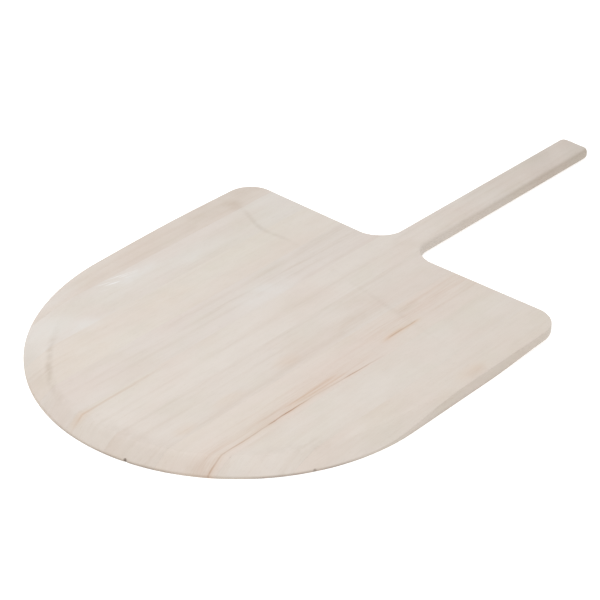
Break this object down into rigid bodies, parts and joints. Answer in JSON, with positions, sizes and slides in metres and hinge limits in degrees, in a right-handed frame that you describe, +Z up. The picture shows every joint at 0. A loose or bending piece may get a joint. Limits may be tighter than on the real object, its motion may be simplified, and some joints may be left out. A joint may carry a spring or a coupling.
{
  "type": "pizza peel",
  "caption": "Flat wooden pizza peel: a wide blade with a rounded, bevelled front edge and square back, and a straight flat handle.",
  "frame": {"origin": "bottom centre of the peel's box, on the flat underside it lies on", "axes": "+Y along the handle to its end, -Y to the bevelled front edge of the blade, +X across the blade, +Z up through the thickness"},
  "size_m": [0.4064, 0.711, 0.013],
  "materials": {
    "left_edge_board": "bare sanded pale wood, pinkish tan",
    "left_outer_board": "bare sanded pale wood, cream white",
    "left_middle_board": "bare sanded pale wood, warm cream",
    "left_inner_board": "bare sanded pale wood, greyish cream",
    "centre_board": "bare sanded pale wood, cream",
    "right_inner_board": "bare sanded pale wood, pinkish cream",
    "right_middle_board": "bare sanded pale wood with reddish heartwood streaks",
    "right_outer_board": "bare sanded pale wood, cream white",
    "right_edge_board": "bare sanded pale wood, cream"
  },
  "bodies": {
    "root": {"left_edge_stave": "left_edge_board", "left_outer_stave": "left_outer_board", "left_middle_stave": "left_middle_board", "left_inner_stave": "left_inner_board", "centre_stave": "centre_board", "right_inner_stave": "right_inner_board", "right_middle_stave": "right_middle_board", "right_outer_stave": "right_outer_board", "right_edge_stave": "right_edge_board"}
  },
  "joints": []
}
